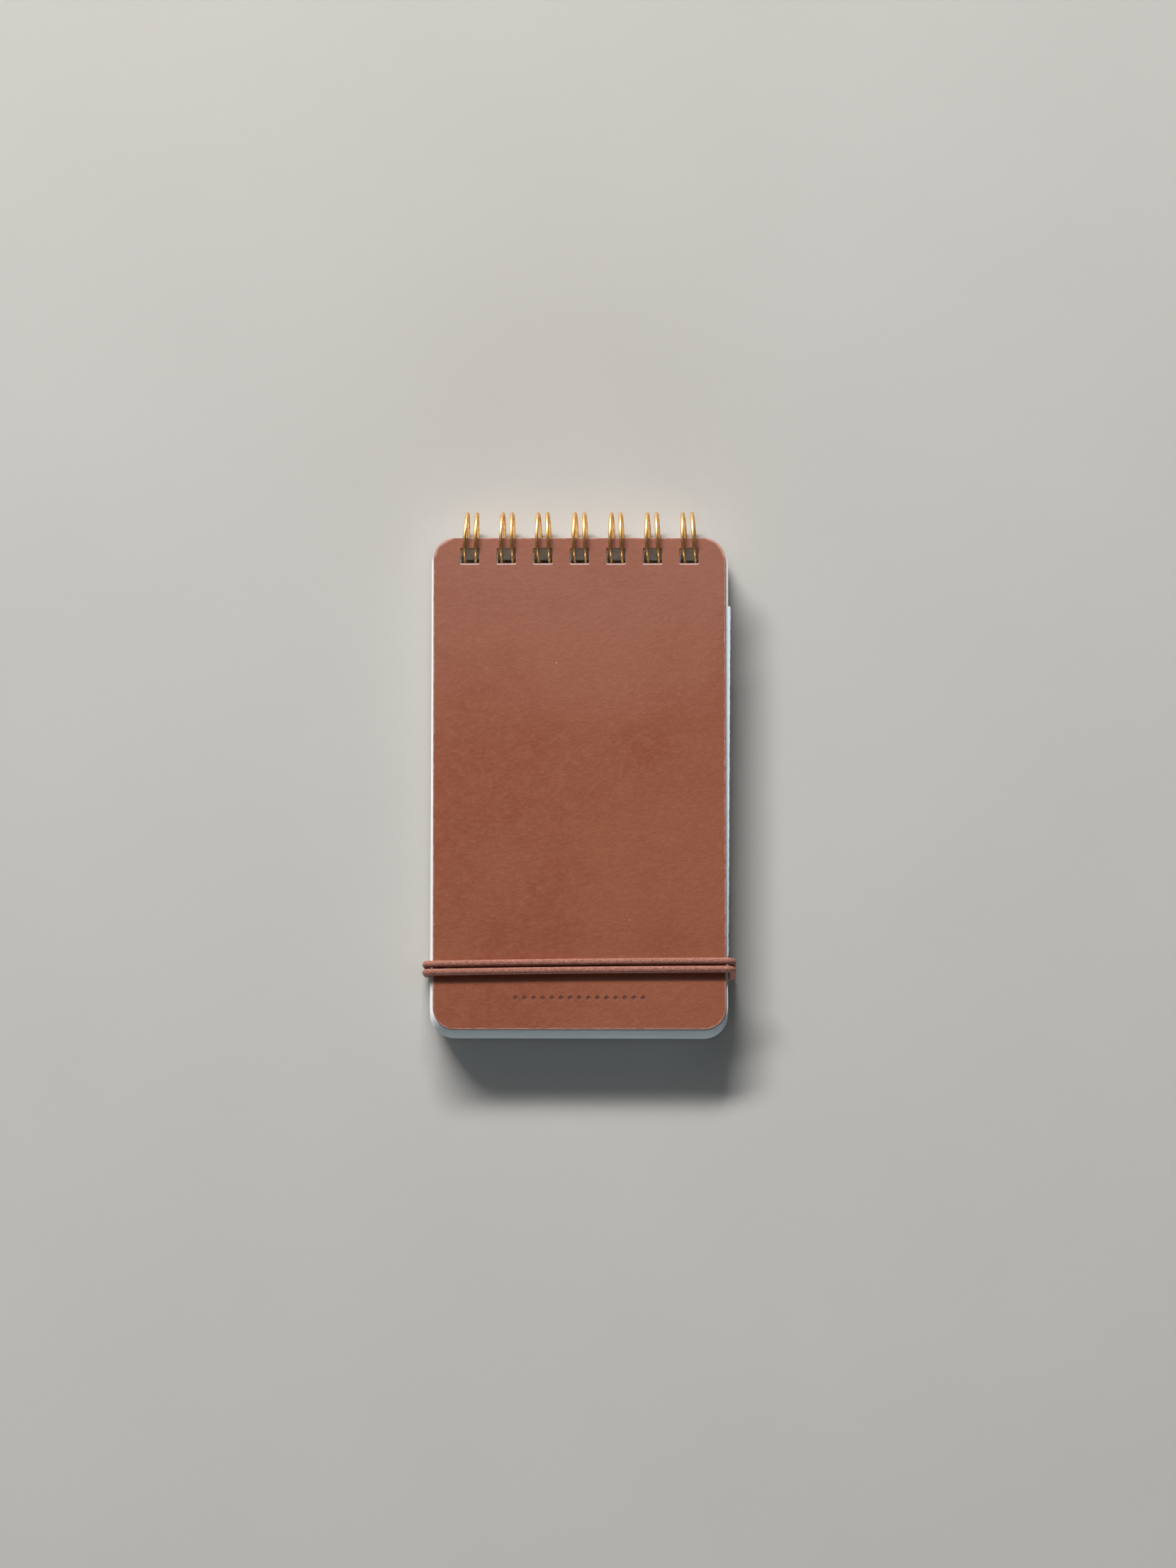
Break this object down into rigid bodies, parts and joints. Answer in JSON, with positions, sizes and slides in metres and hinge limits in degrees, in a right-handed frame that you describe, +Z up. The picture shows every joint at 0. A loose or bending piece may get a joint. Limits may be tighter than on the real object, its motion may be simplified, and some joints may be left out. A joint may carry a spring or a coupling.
{
  "type": "pocket notebook",
  "caption": "Wire-bound pocket notebook with round-cornered leather-look board covers, a white leaf pad, twin-ring wire along the top edge, a cord elastic round the foot and a loose slip.",
  "frame": {"origin": "centre of the bounding box's underside: the table under the closed notebook", "axes": "+X across the width, +Y along the length towards the wire rings, +Z up out of the front cover"},
  "size_m": [0.0724, 0.123, 0.0127],
  "materials": {
    "cover_board": "matt, fine grain",
    "leaf_paper": "matt",
    "wire": "polished",
    "elastic_cord": "fuzzy braid",
    "slip_paper": "matt"
  },
  "bodies": {
    "back": {"back_cover": "cover_board", "binding_wire": "wire"},
    "leaves_16": {"leaves_16": "leaf_paper"},
    "leaves_15": {"leaves_15": "leaf_paper"},
    "leaves_14": {"leaves_14": "leaf_paper"},
    "leaves_13": {"leaves_13": "leaf_paper"},
    "leaves_12": {"leaves_12": "leaf_paper"},
    "leaves_11": {"leaves_11": "leaf_paper"},
    "leaves_10": {"leaves_10": "leaf_paper"},
    "leaves_09": {"leaves_09": "leaf_paper"},
    "leaves_08": {"leaves_08": "leaf_paper"},
    "leaves_07": {"leaves_07": "leaf_paper"},
    "leaves_06": {"leaves_06": "leaf_paper"},
    "leaves_05": {"leaves_05": "leaf_paper"},
    "leaves_04": {"leaves_04": "leaf_paper"},
    "leaves_03": {"leaves_03": "leaf_paper"},
    "leaves_02": {"leaves_02": "leaf_paper"},
    "leaves_01": {"leaves_01": "leaf_paper"},
    "front": {"front_cover": "cover_board"},
    "elastic": {"elastic_upper": "elastic_cord", "elastic_lower": "elastic_cord"},
    "slip": {"loose_slip": "slip_paper"}
  },
  "joints": [
    {"name": "turn_leaves_16", "type": "hinge", "parent": "back", "child": "leaves_16", "pos_m": [0, 0.05518, 0.00635], "axis": [-1, 0, 0], "range_deg": [0, 180]},
    {"name": "turn_leaves_15", "type": "hinge", "parent": "leaves_16", "child": "leaves_15", "pos_m": [0, 0.05518, 0.00635], "axis": [-1, 0, 0], "range_deg": [0, 180]},
    {"name": "turn_leaves_14", "type": "hinge", "parent": "leaves_15", "child": "leaves_14", "pos_m": [0, 0.05518, 0.00635], "axis": [-1, 0, 0], "range_deg": [0, 180]},
    {"name": "turn_leaves_13", "type": "hinge", "parent": "leaves_14", "child": "leaves_13", "pos_m": [0, 0.05518, 0.00635], "axis": [-1, 0, 0], "range_deg": [0, 180]},
    {"name": "turn_leaves_12", "type": "hinge", "parent": "leaves_13", "child": "leaves_12", "pos_m": [0, 0.05518, 0.00635], "axis": [-1, 0, 0], "range_deg": [0, 180]},
    {"name": "turn_leaves_11", "type": "hinge", "parent": "leaves_12", "child": "leaves_11", "pos_m": [0, 0.05518, 0.00635], "axis": [-1, 0, 0], "range_deg": [0, 180]},
    {"name": "turn_leaves_10", "type": "hinge", "parent": "leaves_11", "child": "leaves_10", "pos_m": [0, 0.05518, 0.00635], "axis": [-1, 0, 0], "range_deg": [0, 180]},
    {"name": "turn_leaves_09", "type": "hinge", "parent": "leaves_10", "child": "leaves_09", "pos_m": [0, 0.05518, 0.00635], "axis": [-1, 0, 0], "range_deg": [0, 180]},
    {"name": "turn_leaves_08", "type": "hinge", "parent": "leaves_09", "child": "leaves_08", "pos_m": [0, 0.05518, 0.00635], "axis": [-1, 0, 0], "range_deg": [0, 180]},
    {"name": "turn_leaves_07", "type": "hinge", "parent": "leaves_08", "child": "leaves_07", "pos_m": [0, 0.05518, 0.00635], "axis": [-1, 0, 0], "range_deg": [0, 180]},
    {"name": "turn_leaves_06", "type": "hinge", "parent": "leaves_07", "child": "leaves_06", "pos_m": [0, 0.05518, 0.00635], "axis": [-1, 0, 0], "range_deg": [0, 180]},
    {"name": "turn_leaves_05", "type": "hinge", "parent": "leaves_06", "child": "leaves_05", "pos_m": [0, 0.05518, 0.00635], "axis": [-1, 0, 0], "range_deg": [0, 180]},
    {"name": "turn_leaves_04", "type": "hinge", "parent": "leaves_05", "child": "leaves_04", "pos_m": [0, 0.05518, 0.00635], "axis": [-1, 0, 0], "range_deg": [0, 180]},
    {"name": "turn_leaves_03", "type": "hinge", "parent": "leaves_04", "child": "leaves_03", "pos_m": [0, 0.05518, 0.00635], "axis": [-1, 0, 0], "range_deg": [0, 180]},
    {"name": "turn_leaves_02", "type": "hinge", "parent": "leaves_03", "child": "leaves_02", "pos_m": [0, 0.05518, 0.00635], "axis": [-1, 0, 0], "range_deg": [0, 180]},
    {"name": "turn_leaves_01", "type": "hinge", "parent": "leaves_02", "child": "leaves_01", "pos_m": [0, 0.05518, 0.00635], "axis": [-1, 0, 0], "range_deg": [0, 180]},
    {"name": "turn_front_cover", "type": "hinge", "parent": "leaves_01", "child": "front", "pos_m": [0, 0.05518, 0.00635], "axis": [-1, 0, 0], "range_deg": [0, 180]},
    {"name": "elastic_pull", "type": "slide", "parent": "back", "child": "elastic", "axis": [0, -1, 0], "range_m": [0, 0.022], "deforming": ["elastic_upper", "elastic_lower"]},
    {"name": "slip_pull", "type": "slide", "parent": "leaves_01", "child": "slip", "axis": [1, 0, 0], "range_m": [0, 0.062]}
  ]
}
